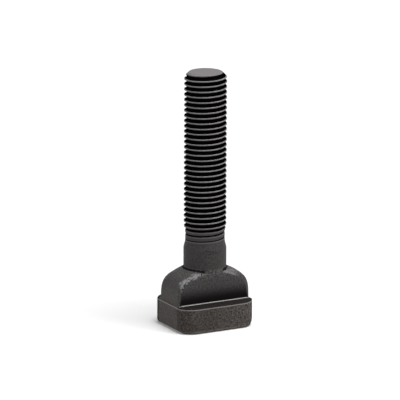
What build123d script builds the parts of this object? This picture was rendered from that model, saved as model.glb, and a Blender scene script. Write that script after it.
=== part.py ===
from build123d import *
import math
import os

# T-slot bolt: one hot-forged steel piece with a rolled M24 x 3 thread.
# Millimetres. The bolt stands on the underside of its head, its axis is Z,
# the head's long side runs along X and the flats of the neck face along Y.

# thread, rolled on a reduced blank
thread_diameter = 24.0
thread_pitch = 3.0
thread_length = 92.9            # free end to where the last groove fades out
crest_undersize = 0.2           # the rolled crests stay this much under nominal
run_out_turns = 2.0             # turns over which the thread fades
end_face_diameter = 18.8        # flat end face inside the point chamfer
point_angle = 45.0              # of the point chamfer, from the end face

# shank
shank_diameter = 24.0
under_head_length = 129.3       # bearing ledge to the free end
blank_land = 2.6                # plain blank between the thread and the cone
blank_cone_length = 5.1         # from the blank down to the full shank
shank_fade_length = 8.0         # over which the shank sinks into the neck's flats
shank_foot_depth = 0.05         # the shank's foot ends this far inside the flats

# neck: a forged dome, cut by two flats and two ends
neck_thickness = 22.0           # across the flats, sits in the mouth of the slot
neck_length = 45.0              # across the ends
neck_height = 18.1              # ledge to where the dome meets the shank
neck_base_diameter = 50.6       # of the dome at the ledge
neck_draft = 6.7                # of the dome's side wall
shoulder_angle = 26.6           # of the dome's top, down from level
knuckle_radius = 9.8            # between the dome's top and its side wall
end_turn_radius = 14.0          # where the ends turn over into the dome
crown_rise = 0.4                # the turned ends top out this far above the dome's rim
neck_corner_radius = 1.5        # upright corners between flats and ends
trim_width = 1.8                # bevel left where the flash was sheared off
neck_root_radius = 0.9          # where the flats of the neck meet the ledge

# head
head_length = 46.2              # across the two sheared ends
ledge_width = 8.0               # bearing ledge on each side of the neck
head_height = 15.0
corner_inset = 2.5              # the plan corners' centres lie this far inside the flats
end_trim = 1.0                  # the ends cut this much off the rounded plan
near_end_radius = 3.2           # where the -X end turns under
far_end_radius = 6.0            # where the +X end turns under
side_bottom_radius = 1.2
ledge_edge_radius = 1.0

# two edges count as being in the same place within this
same_place = 0.001

# worked-out thread sizes; the blank has the pitch diameter of the ISO profile
crest_radius = (thread_diameter - crest_undersize) / 2
sharp_thread_height = thread_pitch * math.sqrt(3) / 2
blank_radius = thread_diameter / 2 - 3 / 8 * sharp_thread_height
shank_radius = shank_diameter / 2
shank_foot_radius = neck_thickness / 2 - shank_foot_depth
point_length = (crest_radius - end_face_diameter / 2) * math.tan(math.radians(point_angle))

# worked-out head plan
head_width = neck_thickness + 2 * ledge_width
head_corner_radius = ledge_width + corner_inset
end_radii_top = max(near_end_radius, far_end_radius)

# worked-out heights above the underside of the head
end_z = head_height + under_head_length
thread_start_z = end_z - thread_length
full_thread_z = thread_start_z + run_out_turns * thread_pitch
cone_top_z = thread_start_z - blank_land
cone_bottom_z = cone_top_z - blank_cone_length
neck_top_z = head_height + neck_height
fade_bottom_z = neck_top_z - shank_fade_length
crown_z = neck_top_z + crown_rise

# worked-out dome section
dome_base_radius = neck_base_diameter / 2
wall_slope = math.tan(math.radians(neck_draft))
top_slope = math.tan(math.radians(shoulder_angle))
apex_z = neck_top_z + shank_radius * top_slope
knuckle_z = apex_z - (dome_base_radius + head_height * wall_slope) * top_slope
knuckle_z = knuckle_z / (1 - wall_slope * top_slope)
knuckle_r = dome_base_radius - (knuckle_z - head_height) * wall_slope

os.makedirs("parts", exist_ok=True)

with BuildPart() as head:
    # side view: a block whose two ends turn under
    with BuildSketch(Plane.XZ) as head_side:
        with Locations((0, head_height / 2)):
            Rectangle(head_length, head_height)
        near_corner = head_side.vertices().group_by(Axis.Y)[0].sort_by(Axis.X)[0]
        fillet(near_corner, near_end_radius)
        far_corner = head_side.vertices().group_by(Axis.Y)[0].sort_by(Axis.X)[-1]
        fillet(far_corner, far_end_radius)
    extrude(amount=head_width, both=True)

    # plan: long sides with rounded corners
    with BuildSketch(Plane.XY) as head_plan:
        RectangleRounded(head_length + 2 * end_trim, head_width, head_corner_radius)
    extrude(amount=head_height, mode=Mode.INTERSECT)

    # the lower edges of the long sides, and the rim of the ledge
    low_edges = head.edges().filter_by(lambda edge: edge.center().Z < end_radii_top)
    fillet(low_edges.filter_by(Axis.Y, reverse=True), side_bottom_radius)
    fillet(head.faces().sort_by(Axis.Z)[-1].edges(), ledge_edge_radius)

with BuildPart() as t_slot_bolt:
    # neck: a dome revolved about the bolt's axis
    with BuildSketch(Plane.XZ) as dome_section:
        with BuildLine():
            Polyline(
                (0, head_height / 2),
                (0, apex_z),
                (knuckle_r, knuckle_z),
                (dome_base_radius, head_height),
                (dome_base_radius, head_height / 2),
                close=True,
            )
        make_face()
        knuckle = dome_section.vertices().group_by(Axis.Y)[-2]
        fillet(knuckle, knuckle_radius)
    revolve(axis=Axis.Z)

    # two flats cut the dome, and the edge round each is sheared off
    with BuildSketch(Plane.XY) as neck_slab:
        Rectangle(2 * neck_base_diameter, neck_thickness)
    extrude(amount=apex_z, mode=Mode.INTERSECT)
    flat_edges = t_slot_bolt.faces().filter_by(Axis.Y).edges()
    arch_edges = flat_edges.filter_by(GeomType.LINE, reverse=True)
    chamfer(arch_edges, trim_width)

    # the two ends and the rounded upright corners
    with BuildSketch(Plane.XY) as neck_plan:
        RectangleRounded(neck_length, neck_thickness, neck_corner_radius)
    extrude(amount=apex_z, mode=Mode.INTERSECT)

    # the ends stand upright at their foot and turn over into the dome
    with BuildSketch(Plane.XZ) as neck_side:
        with Locations((0, crown_z / 2)):
            Rectangle(neck_length, crown_z)
        fillet(neck_side.vertices().group_by(Axis.Y)[-1], end_turn_radius)
    extrude(amount=neck_thickness, both=True, mode=Mode.INTERSECT)

    # the neck stands on the head, with a small root along its flats
    add(head.part)
    ledge_edges = t_slot_bolt.edges().filter_by(
        lambda edge: abs(edge.center().Z - head_height) < same_place
    )
    root_edges = ledge_edges.filter_by(Axis.X).filter_by(
        lambda edge: abs(abs(edge.center().Y) - neck_thickness / 2) < same_place
    )
    fillet(root_edges, neck_root_radius)

    # shank, reduced blank and the thread's outside with its pointed end
    with BuildSketch(Plane.XZ) as shank_section:
        with BuildLine():
            Polyline(
                (0, head_height / 2),
                (shank_foot_radius, head_height / 2),
                (shank_foot_radius, fade_bottom_z),
                (shank_radius, neck_top_z),
                (shank_radius, cone_bottom_z),
                (blank_radius, cone_top_z),
                (blank_radius, thread_start_z),
                (crest_radius, full_thread_z),
                (crest_radius, end_z - point_length),
                (end_face_diameter / 2, end_z),
                (0, end_z),
                close=True,
            )
        make_face()
    revolve(axis=Axis.Z)

t_slot_bolt.part.label = "t_slot_bolt"
export_step(t_slot_bolt.part, "parts/t_slot_bolt.step")
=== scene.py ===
import math

import bmesh
import bpy
from mathutils import Matrix, Vector


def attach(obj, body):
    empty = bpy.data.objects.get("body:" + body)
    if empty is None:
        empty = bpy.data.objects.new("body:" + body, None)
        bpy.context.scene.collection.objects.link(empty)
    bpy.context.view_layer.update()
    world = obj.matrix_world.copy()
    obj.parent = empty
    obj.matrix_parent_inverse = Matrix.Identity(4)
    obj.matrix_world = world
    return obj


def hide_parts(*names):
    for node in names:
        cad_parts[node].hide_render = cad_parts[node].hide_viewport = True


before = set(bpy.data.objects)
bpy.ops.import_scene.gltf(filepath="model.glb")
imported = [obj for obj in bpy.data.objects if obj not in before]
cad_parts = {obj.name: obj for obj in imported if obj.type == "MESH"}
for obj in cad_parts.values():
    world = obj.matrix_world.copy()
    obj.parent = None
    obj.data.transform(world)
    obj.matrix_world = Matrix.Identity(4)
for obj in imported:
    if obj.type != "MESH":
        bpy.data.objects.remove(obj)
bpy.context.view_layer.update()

# The bolt. One piece of steel: an oblong head, a domed neck cut by two flats and a
# round shank are forged hot in a die, the flash is sheared off and the thread is
# rolled on. It comes black from the oxide bath and stands on its head, fixed to nothing.


def add_node(tree, kind, **settings):
    node = tree.nodes.new(kind)
    for name, value in settings.items():
        setattr(node, name, value)
    return node


def plug(tree, socket, value):
    if isinstance(value, bpy.types.NodeSocket):
        tree.links.new(value, socket)
    else:
        socket.default_value = value


def calc(tree, operation, *values):
    node = add_node(tree, "ShaderNodeMath", operation=operation)
    for socket, value in zip(node.inputs, values):
        plug(tree, socket, value)
    return node.outputs[0]


def both(tree, first, *others):
    for other in others:
        first = calc(tree, "MULTIPLY", first, other)
    return first


def ramp(tree, value, low, high, low_out=0.0, high_out=1.0):
    node = add_node(tree, "ShaderNodeMapRange", interpolation_type="SMOOTHSTEP")
    for socket, number in zip(node.inputs, (value, low, high, low_out, high_out)):
        plug(tree, socket, number)
    return node.outputs[0]


def band(tree, value, start, full, still_full, end):
    return both(tree, ramp(tree, value, start, full), ramp(tree, value, end, still_full))


def blend_colours(tree, factor, first, second):
    node = add_node(tree, "ShaderNodeMix", data_type="RGBA")
    plug(tree, node.inputs["Factor"], factor)
    plug(tree, node.inputs[6], first)
    plug(tree, node.inputs[7], second)
    return node.outputs[2]


def speckle(tree, place, scale, detail, roughness):
    node = add_node(tree, "ShaderNodeTexNoise")
    plug(tree, node.inputs["Vector"], place)
    node.inputs["Scale"].default_value = scale
    node.inputs["Detail"].default_value = detail
    node.inputs["Roughness"].default_value = roughness
    return node.outputs["Fac"]


def start_material(name, sheen):
    material = bpy.data.materials.new(name)
    material.use_nodes = True
    tree = material.node_tree
    shader = tree.nodes["Principled BSDF"]
    shader.inputs["Specular IOR Level"].default_value = sheen
    place = add_node(tree, "ShaderNodeTexCoord").outputs["Object"]
    xyz = add_node(tree, "ShaderNodeSeparateXYZ")
    plug(tree, xyz.inputs[0], place)
    x, y, z = xyz.outputs
    reach = calc(tree, "SQRT", calc(tree, "ADD", both(tree, x, x), both(tree, y, y)))
    return material, tree, shader, place, x, y, z, reach


def finish_steel(tree, shader, colour, grain, sheen, relief):
    plug(tree, shader.inputs["Base Color"], colour)
    plug(tree, shader.inputs["Roughness"], ramp(tree, grain, 0.3, 0.7, 0.55, 0.72))
    plug(tree, shader.inputs["Specular IOR Level"], sheen)
    bump = add_node(tree, "ShaderNodeBump")
    bump.inputs["Strength"].default_value = 0.4
    bump.inputs["Distance"].default_value = 0.0001
    plug(tree, bump.inputs["Height"], relief)
    plug(tree, shader.inputs["Normal"], bump.outputs["Normal"])


# forged skin of head, neck and lower shank: a dark satin scale
oxide_sheen = 0.15
# specular level where shade is painted
shade_sheen = 0.01
flat_side = 0.011
ledge_z = 0.015
neck_end_x = 0.0225
blank_foot_z = 0.034
grain_scale = 1000
shank_dark = (0.025, 0.0220, 0.0225, 1)
shank_light = (0.045, 0.0405, 0.0405, 1)

skin, tree, shader, place, x, y, z, reach = start_material("forged_skin", oxide_sheen)
side = calc(tree, "ABSOLUTE", y)
from_middle = calc(tree, "ABSOLUTE", x)
grain = speckle(tree, place, grain_scale, 3, 0.7)
cloud = speckle(tree, place, 170, 4, 0.6)
tear = speckle(tree, place, 1900, 2, 0.7)
rag = speckle(tree, place, 420, 3, 0.6)
speckled = ramp(tree, grain, 0.40, 0.62)

# neck, dusted towards its top, with browner ends and the grey shank above it
neck_black = blend_colours(tree, speckled, (0.029, 0.0260, 0.0262, 1), (0.056, 0.0510, 0.0515, 1))
dusted = blend_colours(tree, speckled, (0.026, 0.0240, 0.0235, 1), (0.110, 0.103, 0.101, 1))
colour = blend_colours(tree, ramp(tree, z, 0.0265, 0.0325, 0.0, 0.75), neck_black, dusted)
end_brown = blend_colours(tree, speckled, (0.039, 0.0350, 0.0327, 1), (0.071, 0.064, 0.0607, 1))
end_face = ramp(tree, from_middle, neck_end_x - 0.0010, neck_end_x - 0.0001)
within_flats = ramp(tree, side, flat_side - 0.0002, flat_side - 0.0012)
colour = blend_colours(tree, both(tree, end_face, within_flats), colour, end_brown)
# painted shade: the flats darken to near black towards their foot, where the head shades them
on_flat = ramp(tree, side, flat_side - 0.0004, flat_side - 0.0001)
painted_flat_shade = both(tree, on_flat, ramp(tree, z, 0.0262, 0.0164))
colour = blend_colours(tree, painted_flat_shade, colour, (0.0075, 0.0063, 0.0063, 1))
shank_grey = blend_colours(tree, speckled, shank_dark, shank_light)
on_shank = ramp(tree, z, blank_foot_z - 0.0005, blank_foot_z + 0.0005)
colour = blend_colours(tree, on_shank, colour, shank_grey)

# painted shade: a dark crease where the dome meets the shank
crease_height = band(tree, z, 0.0308, 0.0316, 0.0334, 0.0339)
crease_side = ramp(tree, side, flat_side - 0.0002, flat_side - 0.0009)
crease = both(tree, ramp(tree, reach, 0.0130, 0.0124), crease_height, crease_side)
colour = blend_colours(tree, both(tree, crease, 0.9), colour, (0.004, 0.004, 0.004, 1))

# bevels where the flash was sheared off: ragged, torn and nicked, with painted glints speckling the
# torn metal
ragged_side = calc(tree, "ADD", side, ramp(tree, rag, 0.3, 0.7, -0.0009, 0.0009))
cut_side = both(tree, ramp(tree, ragged_side, 0.0076, 0.0086), ramp(tree, side, 0.01095, 0.0108))
left_cut = band(tree, x, -0.0215, -0.0195, -0.0050, -0.0030)
right_cut = band(tree, x, 0.0045, 0.0060, 0.0120, 0.0165)
cut_length = calc(tree, "ADD", left_cut, both(tree, right_cut, 0.75))
cut_height = band(tree, z, 0.0215, 0.0240, 0.0318, 0.0324)
off_shank = ramp(tree, reach, 0.0119, 0.0124)
cut = both(tree, cut_side, cut_length, cut_height, off_shank)
torn_glints = ramp(tree, tear, 0.38, 0.60)
torn = blend_colours(tree, torn_glints, (0.018, 0.017, 0.0175, 1), (0.245, 0.236, 0.245, 1))
colour = blend_colours(tree, cut, colour, torn)
nick_side = band(tree, side, 0.0101, 0.0104, 0.0108, 0.01096)
nicks = ramp(tree, rag, 0.46, 0.54)
nicked = both(tree, nick_side, left_cut, cut_height, off_shank, nicks, 0.85)
colour = blend_colours(tree, nicked, colour, (0.003, 0.003, 0.003, 1))

# head: brown sides, painted lighter towards the far end where the lamp on the right falls, and painted
# shade on the ledge
far_end = ramp(tree, x, -0.010, 0.020)
painted_light_gradient = blend_colours(tree, far_end, (0.074, 0.0655, 0.0600, 1), (0.112, 0.101, 0.093, 1))
side_brown = blend_colours(tree, speckled, (0.030, 0.0260, 0.0240, 1), painted_light_gradient)
below_ledge = ramp(tree, z, ledge_z + 0.0002, ledge_z)
colour = blend_colours(tree, below_ledge, colour, side_brown)
# painted shade on the ledge at the foot of the neck
ledge_height = band(tree, z, ledge_z - 0.0009, ledge_z - 0.0006, ledge_z + 0.0001, ledge_z + 0.0003)
on_ledge = both(tree, ledge_height, ramp(tree, side, flat_side - 0.0002, flat_side + 0.0002))
colour = blend_colours(tree, both(tree, on_ledge, 0.85), colour, (0.009, 0.0078, 0.0078, 1))

# edges: a painted highlight along the neck's root, then the ledge's rim, the head's foot
# and its corners, lightened as said at each
root_height = band(tree, z, ledge_z - 0.0001, ledge_z, ledge_z + 0.0002, ledge_z + 0.0004)
out_from_flat = calc(tree, "SUBTRACT", side, flat_side)
root_side = band(tree, out_from_flat, 0.0001, 0.0002, 0.0008, 0.0011)
root_highlight = both(tree, root_height, root_side, 0.95)
colour = blend_colours(tree, root_highlight, colour, (0.32, 0.308, 0.305, 1))
# the ledge's rim: worn light in patches, and a painted highlight along its rounding
rim_height = band(tree, z, 0.0136, 0.01385, 0.0141, 0.0144)
worn_rim_and_highlight = both(tree, rim_height, ramp(tree, cloud, 0.3, 0.5, 0.55, 0.9))
colour = blend_colours(tree, worn_rim_and_highlight, colour, (0.215, 0.198, 0.186, 1))
# the head's foot: worn light in patches, and a painted reflection of the floor along its bottom edge
foot_height = band(tree, z, 0.0006, 0.0010, 0.0013, 0.0018)
worn_foot_and_reflection = both(tree, foot_height, ramp(tree, cloud, 0.35, 0.6, 0.15, 0.6))
colour = blend_colours(tree, worn_foot_and_reflection, colour, (0.15, 0.137, 0.128, 1))
# painted highlight down the rounded corners at the far end of the head
corner_edge = band(tree, x, 0.0221, 0.0224, 0.0226, 0.0229)
corner_highlight = both(tree, corner_edge, ramp(tree, z, 0.0142, 0.0136), 0.45)
colour = blend_colours(tree, corner_highlight, colour, (0.17, 0.155, 0.145, 1))
dusty = both(tree, ramp(tree, cloud, 0.45, 0.75, 0.0, 0.3), ramp(tree, z, 0.0145, 0.0135))
colour = blend_colours(tree, dusty, colour, (0.085, 0.077, 0.072, 1))

# less sheen where shade is painted: the flats' foot, the ledge and the crease
painted_shade_zones = calc(tree, "MAXIMUM", calc(tree, "MAXIMUM", painted_flat_shade, on_ledge), crease)
sheen = ramp(tree, painted_shade_zones, 0.0, 1.0, oxide_sheen, shade_sheen)
scale_relief = calc(tree, "ADD", both(tree, cloud, 2.0), both(tree, cut, tear, 3.0))
finish_steel(tree, shader, colour, grain, sheen, calc(tree, "ADD", grain, scale_relief))

# rolled thread: the dies burnish the crests, which are painted lighter still as a highlight,
# brightest along their upper edge, and leave the grooves in black oxide, painted near black
# as shade; towards the shank the crests sink into the reduced blank first, and the narrow
# black grooves run on below them
pitch = 0.003
crest_radius = 0.0119
root_radius = 0.01016
blank_radius = 0.01103
shank_radius = 0.012
joint_z = 0.040
cone_bottom_z = 0.0437
cone_top_z = 0.0488
crest_start_z = 0.0532
full_crest_z = 0.0578
groove_start_z = 0.0478
full_groove_z = 0.0535
end_z = 0.1443
end_face_radius = 0.0094
crest_phase_z = 0.13925
flank_slope = 1 / math.tan(math.radians(30))
root_half_width = 0.00022
crest_rounding = 0.0002
point_rounding = 0.00012
groove_fade_length = 0.0012
weld_distance = 0.000001
sides = 80
rows_per_pitch = 20
face_rows = 10

rolled, tree, shader, place, x, y, z, reach = start_material("rolled_thread", oxide_sheen)
grain = speckle(tree, place, grain_scale, 3, 0.7)
speckled = ramp(tree, grain, 0.40, 0.62)

# burnish and painted highlight by depth under the crests
crest_top = ramp(tree, z, crest_start_z, full_crest_z, blank_radius, crest_radius)
point_top = calc(tree, "ADD", end_face_radius, calc(tree, "SUBTRACT", end_z, z))
sunk = calc(tree, "SUBTRACT", calc(tree, "MINIMUM", crest_top, point_top), reach)
crest_grey = blend_colours(tree, speckled, (0.180, 0.169, 0.172, 1), (0.275, 0.260, 0.265, 1))
groove_depth = ramp(tree, z, groove_start_z, full_groove_z, 0.00012, 0.00095)
burnish_and_highlight = ramp(tree, calc(tree, "DIVIDE", sunk, groove_depth), 0.72, 0.08)
into_thread = ramp(tree, z, 0.0500, 0.0610)
crest_grey = blend_colours(tree, into_thread, (0.098, 0.0905, 0.0905, 1), crest_grey)

# a painted highlight along the upper edge of each crest, by its place on the helix
turn = calc(tree, "DIVIDE", calc(tree, "ARCTAN2", y, x), 2 * math.pi)
pitches_up = calc(tree, "DIVIDE", calc(tree, "SUBTRACT", z, crest_phase_z), pitch)
along = calc(tree, "SUBTRACT", pitches_up, turn)
above_crest = calc(tree, "SUBTRACT", along, calc(tree, "ROUND", along))
upper_edge = ramp(tree, z, 0.0525, 0.0590, 0.42, 0.15)
below_edge = calc(tree, "SUBTRACT", upper_edge, above_crest)
faintest = ramp(tree, z, 0.0525, 0.0590, 0.45, 0.0)
top_edge = ramp(tree, below_edge, 0.0, 0.05)
edge_highlight = both(tree, top_edge, ramp(tree, below_edge, 0.42, 0.02, faintest, 1.0))
lit = both(tree, burnish_and_highlight, edge_highlight)

# colours, from the shank up to the end face: grooves painted near black as shade, crests
# lighter as burnish and painted highlight
thread_colour = blend_colours(tree, lit, (0.0015, 0.0013, 0.0015, 1), crest_grey)
shank_grey = blend_colours(tree, speckled, shank_dark, shank_light)
on_thread = ramp(tree, z, groove_start_z, groove_start_z + 0.0010)
colour = blend_colours(tree, on_thread, shank_grey, thread_colour)
# the end face painted light grey as painted light on the upward face
on_end = ramp(tree, z, end_z - 0.0003, end_z - 0.0001)
colour = blend_colours(tree, on_end, colour, (0.165, 0.154, 0.158, 1))

# faint scuffs on the front of the shank
stretched = add_node(tree, "ShaderNodeVectorMath", operation="MULTIPLY")
plug(tree, stretched.inputs[0], place)
stretched.inputs[1].default_value = (260, 260, 1900)
strokes = ramp(tree, speckle(tree, stretched.outputs[0], 1, 2, 0.6), 0.52, 0.58)
scuff_height = band(tree, z, 0.0420, 0.0430, 0.0445, 0.0452)
scuff_width = band(tree, x, -0.0070, -0.0050, 0.0015, 0.0030)
scuffed = both(tree, strokes, scuff_height, scuff_width, ramp(tree, y, 0.0, -0.002), 0.85)
colour = blend_colours(tree, scuffed, colour, (0.012, 0.011, 0.011, 1))
groove_sheen = both(tree, lit, oxide_sheen)
sheen = ramp(tree, z, groove_start_z, groove_start_z + 0.0010, oxide_sheen, groove_sheen)
finish_steel(tree, shader, colour, grain, sheen, grain)

# the thread's form: a grid rolled up, one column a step round, one row a step up
rule = bpy.data.node_groups.new("rolled_thread_rule", "GeometryNodeTree")
rule.interface.new_socket("Geometry", in_out="INPUT", socket_type="NodeSocketGeometry")
thread_sizes = {
    "Pitch": pitch, "Crest Radius": crest_radius, "Root Radius": root_radius,
    "Blank Radius": blank_radius, "Shank Radius": shank_radius, "Bottom": joint_z,
    "Cone Bottom": cone_bottom_z, "Cone Top": cone_top_z, "Crest Start": crest_start_z,
    "Full Crest": full_crest_z, "Groove Start": groove_start_z, "Full Groove": full_groove_z,
    "End": end_z, "End Face Radius": end_face_radius, "Crest Phase": crest_phase_z,
    "Flank Slope": flank_slope, "Root Half Width": root_half_width,
    "Crest Rounding": crest_rounding, "Point Rounding": point_rounding,
    "Groove Fade Length": groove_fade_length, "Weld Distance": weld_distance,
}
for name, value in thread_sizes.items():
    rule.interface.new_socket(name, in_out="INPUT", socket_type="NodeSocketFloat").default_value = value
for name, value in {"Sides": sides, "Rows per Pitch": rows_per_pitch, "Face Rows": face_rows}.items():
    rule.interface.new_socket(name, in_out="INPUT", socket_type="NodeSocketInt").default_value = value
rule.interface.new_socket("Geometry", in_out="OUTPUT", socket_type="NodeSocketGeometry")
given = add_node(rule, "NodeGroupInput").outputs
row = calc(rule, "DIVIDE", given["Pitch"], given["Rows per Pitch"])
face_zone = both(rule, row, given["Face Rows"])
span = calc(rule, "ADD", calc(rule, "SUBTRACT", given["End"], given["Bottom"]), face_zone)
grid = add_node(rule, "GeometryNodeMeshGrid")
plug(rule, grid.inputs["Size X"], 1.0)
plug(rule, grid.inputs["Size Y"], 1.0)
plug(rule, grid.inputs["Vertices X"], calc(rule, "ADD", given["Sides"], 1.0))
row_count = calc(rule, "ROUND", calc(rule, "DIVIDE", span, row))
plug(rule, grid.inputs["Vertices Y"], calc(rule, "ADD", row_count, 1.0))
here = add_node(rule, "ShaderNodeSeparateXYZ")
plug(rule, here.inputs[0], add_node(rule, "GeometryNodeInputPosition").outputs[0])
around = here.outputs["X"]
climb = calc(rule, "ADD", given["Bottom"], both(rule, calc(rule, "ADD", here.outputs["Y"], 0.5), span))
height = calc(rule, "MINIMUM", climb, given["End"])
beyond_end = calc(rule, "MAXIMUM", calc(rule, "SUBTRACT", climb, given["End"]), 0.0)
over = calc(rule, "DIVIDE", beyond_end, face_zone)
turns_up = calc(rule, "DIVIDE", calc(rule, "SUBTRACT", height, given["Crest Phase"]), given["Pitch"])
along = calc(rule, "SUBTRACT", turns_up, around)
off_crest = calc(rule, "ABSOLUTE", calc(rule, "SUBTRACT", along, calc(rule, "ROUND", along)))
from_root = both(rule, calc(rule, "SUBTRACT", 0.5, off_crest), given["Pitch"])
top = ramp(rule, height, given["Crest Start"], given["Full Crest"],
           given["Blank Radius"], given["Crest Radius"])
low = ramp(rule, height, given["Groove Start"], given["Full Groove"],
           given["Blank Radius"], given["Root Radius"])
up_flank = calc(rule, "MAXIMUM", calc(rule, "SUBTRACT", from_root, given["Root Half Width"]), 0.0)
flank = calc(rule, "ADD", low, both(rule, up_flank, given["Flank Slope"]))
rounded = calc(rule, "SMOOTH_MIN", top, flank, given["Crest Rounding"])
groove_fade_end = calc(rule, "ADD", given["Groove Start"], given["Groove Fade Length"])
groove_share = ramp(rule, height, given["Groove Start"], groove_fade_end)
pressed = both(rule, groove_share, calc(rule, "SUBTRACT", rounded, given["Blank Radius"]))
cone = ramp(rule, height, given["Cone Bottom"], given["Cone Top"],
            given["Shank Radius"], given["Blank Radius"])
point = calc(rule, "ADD", given["End Face Radius"], calc(rule, "SUBTRACT", given["End"], height))
wall = calc(rule, "SMOOTH_MIN", calc(rule, "ADD", cone, pressed), point, given["Point Rounding"])
radius = both(rule, wall, calc(rule, "SUBTRACT", 1.0, over))
angle = both(rule, around, 2 * math.pi)
spot = add_node(rule, "ShaderNodeCombineXYZ")
plug(rule, spot.inputs["X"], both(rule, radius, calc(rule, "COSINE", angle)))
plug(rule, spot.inputs["Y"], both(rule, radius, calc(rule, "SINE", angle)))
plug(rule, spot.inputs["Z"], height)
shaped = add_node(rule, "GeometryNodeSetPosition")
plug(rule, shaped.inputs["Geometry"], grid.outputs["Mesh"])
plug(rule, shaped.inputs["Position"], spot.outputs[0])
closed = add_node(rule, "GeometryNodeMergeByDistance")
plug(rule, closed.inputs["Geometry"], shaped.outputs[0])
plug(rule, closed.inputs["Distance"], given["Weld Distance"])
real = add_node(rule, "GeometryNodeRealizeInstances")
plug(rule, real.inputs[0], closed.outputs[0])
finished = add_node(rule, "GeometryNodeSetMaterial")
plug(rule, finished.inputs["Geometry"], real.outputs[0])
plug(rule, finished.inputs["Material"], rolled)
plug(rule, add_node(rule, "NodeGroupOutput").inputs[0], finished.outputs[0])

thread_maker = bpy.data.objects.new("thread_maker", bpy.data.meshes.new("thread_maker"))
bpy.context.scene.collection.objects.link(thread_maker)
thread_maker.modifiers.new("rule", "NODES").node_group = rule
made_thread = thread_maker.evaluated_get(bpy.context.evaluated_depsgraph_get())
thread_mesh = bpy.data.meshes.new_from_object(made_thread)
thread_maker.modifiers.clear()
bpy.data.objects.remove(thread_maker)

# head, neck and lower shank in the solid's own form, and the thread grown on above them
joint_tolerance = 0.00001
sharp_angle = math.radians(32)
steel = bmesh.new()
steel.from_mesh(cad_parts["t_slot_bolt"].data)
bmesh.ops.remove_doubles(steel, verts=steel.verts, dist=weld_distance)
everything = steel.verts[:] + steel.edges[:] + steel.faces[:]
bmesh.ops.bisect_plane(steel, geom=everything, dist=weld_distance / 10,
                       plane_co=(0, 0, joint_z), plane_no=(0, 0, 1), clear_outer=True)
for face in steel.faces:
    face.material_index = 0
forged_count = len(steel.faces)
steel.from_mesh(thread_mesh)
steel.faces.ensure_lookup_table()
for face in steel.faces[forged_count:]:
    face.material_index = 1
rim = []
for edge in steel.edges:
    if edge.is_boundary and all(abs(end.co.z - joint_z) < joint_tolerance for end in edge.verts):
        rim.append(edge)
bridge = bmesh.ops.bridge_loops(steel, edges=rim)
for face in bridge["faces"]:
    face.material_index = 1
for face in steel.faces:
    face.smooth = True
for edge in steel.edges:
    edge.smooth = len(edge.link_faces) == 2 and edge.calc_face_angle() < sharp_angle
bolt_mesh = bpy.data.meshes.new("bolt")
steel.to_mesh(bolt_mesh)
steel.free()
for material in (skin, rolled):
    bolt_mesh.materials.append(material)
bolt = bpy.data.objects.new("bolt", bolt_mesh)
bpy.context.scene.collection.objects.link(bolt)
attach(bolt, "root")
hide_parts("t_slot_bolt")

# Studio. A flat sheet of white paper under a soft overhead box, with one box at the
# front right and one behind on the left. Paper and world show white to the camera
# and in reflections; the paper glows more farther out, where the lamps fade.


def seen_or_mirrored(tree):
    rays = add_node(tree, "ShaderNodeLightPath").outputs
    mirrored = calc(tree, "MAXIMUM", rays["Is Glossy Ray"], rays["Is Transmission Ray"])
    return calc(tree, "MAXIMUM", rays["Is Camera Ray"], mirrored)


floor_reach = 6.0
floor_z = -0.0001
ambient_strength = 0.20
box_size = 0.45
floor_mesh = bpy.data.meshes.new("floor")
floor_corners = []
for x, y in ((-1, -1), (1, -1), (1, 1), (-1, 1)):
    floor_corners.append((floor_reach * x, floor_reach * y, floor_z))
floor_mesh.from_pydata(floor_corners, [], [(0, 1, 2, 3)])
floor = bpy.data.objects.new("floor", floor_mesh)
bpy.context.scene.collection.objects.link(floor)
paper, tree, sheet, *_, reach = start_material("white_paper", 0.5)
sheet.inputs["Base Color"].default_value = (0.8, 0.8, 0.8, 1)
sheet.inputs["Roughness"].default_value = 0.9
sheet.inputs["Emission Color"].default_value = (1, 1, 1, 1)
paper_glow = ramp(tree, reach, 0.0, 1.2, 0.12, 0.88)
plug(tree, sheet.inputs["Emission Strength"], both(tree, seen_or_mirrored(tree), paper_glow))
floor_mesh.materials.append(paper)

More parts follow.
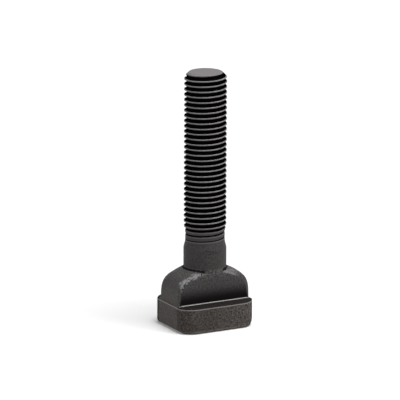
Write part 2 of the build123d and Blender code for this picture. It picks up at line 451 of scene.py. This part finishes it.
world = bpy.data.worlds.new("studio")
bpy.context.scene.world = world
world.use_nodes = True
tree = world.node_tree
sky = tree.nodes["Background"]
sky.inputs["Color"].default_value = (1, 1, 1, 1)
plug(tree, sky.inputs["Strength"], ramp(tree, seen_or_mirrored(tree), 0.0, 1.0, ambient_strength, 1.0))

middle = Vector((0, 0, 0.07))
for name, spot, power in (
    ("overhead_box", Vector((0.08, -0.16, 0.80)), 7.0),
    ("right_box", Vector((0.50, -0.76, 0.32)), 3.3),
    ("back_left_box", Vector((-0.72, 0.05, 0.22)), 1.05),
):
    lamp = bpy.data.lights.new(name, "AREA")
    lamp.size = box_size
    lamp.energy = power
    holder = bpy.data.objects.new(name, lamp)
    aim = (spot - middle).to_track_quat("Z", "Y").to_matrix().to_4x4()
    holder.matrix_world = Matrix.Translation(spot) @ aim
    bpy.context.scene.collection.objects.link(holder)

# Camera. It stands well back with a long lens and looks down on the front left
# corner of the head, as the photograph does.


def direction(azimuth, elevation):
    level = math.cos(elevation)
    return Vector((math.sin(azimuth) * level, -math.cos(azimuth) * level, math.sin(elevation)))


camera_azimuth = math.radians(-28.361)
camera_elevation = math.radians(14.453)
camera_distance = 3.0
aim_height = 0.075
look_azimuth = math.radians(-28.361 + 0.056)
look_pitch = math.radians(14.525)
look_roll = math.radians(0.24)
camera_back = direction(look_azimuth, look_pitch)
level_right = Vector((math.cos(look_azimuth), math.sin(look_azimuth), 0))
level_up = camera_back.cross(level_right)
right = math.cos(look_roll) * level_right + math.sin(look_roll) * level_up
up = math.cos(look_roll) * level_up - math.sin(look_roll) * level_right
spot = Vector((0, 0, aim_height)) + camera_distance * direction(camera_azimuth, camera_elevation)
lens = bpy.data.cameras.new("camera")
lens.sensor_width = 36
lens.lens = 485.74
camera = bpy.data.objects.new("camera", lens)
facing = Matrix((right, up, camera_back)).transposed().to_4x4()
camera.matrix_world = Matrix.Translation(spot) @ facing
bpy.context.scene.collection.objects.link(camera)
bpy.context.scene.camera = camera
bpy.context.scene.view_settings.view_transform = "Standard"
